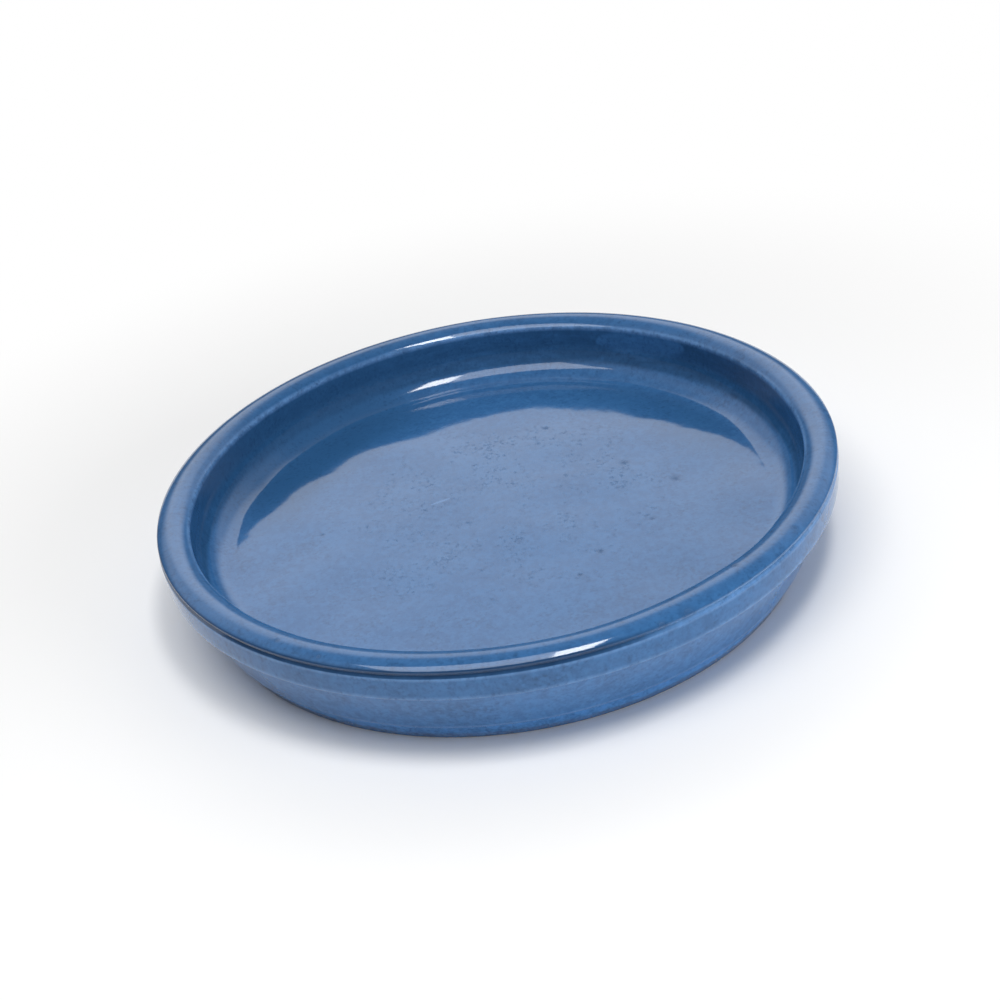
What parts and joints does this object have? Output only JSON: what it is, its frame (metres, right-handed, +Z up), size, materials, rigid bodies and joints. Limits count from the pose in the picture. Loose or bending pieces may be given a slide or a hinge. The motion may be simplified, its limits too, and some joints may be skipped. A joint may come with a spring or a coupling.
{
  "type": "plant saucer",
  "caption": "Round shallow glazed clay saucer with a thick collared rim, stepped outside and a foot ring; stands under a plant pot and catches its drained water.",
  "frame": {"origin": "on the table, under the middle of the dish", "axes": "+Z up along the axis of the dish; +X and +Y are any two directions across it, as it is round"},
  "size_m": [0.2602, 0.2602, 0.0416],
  "materials": {
    "fired_clay": "unglazed fired clay, matt and slightly gritty",
    "blue_glaze": "glossy blue glaze, thinner and paler on edges, with small specks and pinholes"
  },
  "bodies": {
    "root": {"clay_body": "fired_clay", "glaze_coat": "blue_glaze"}
  },
  "joints": []
}
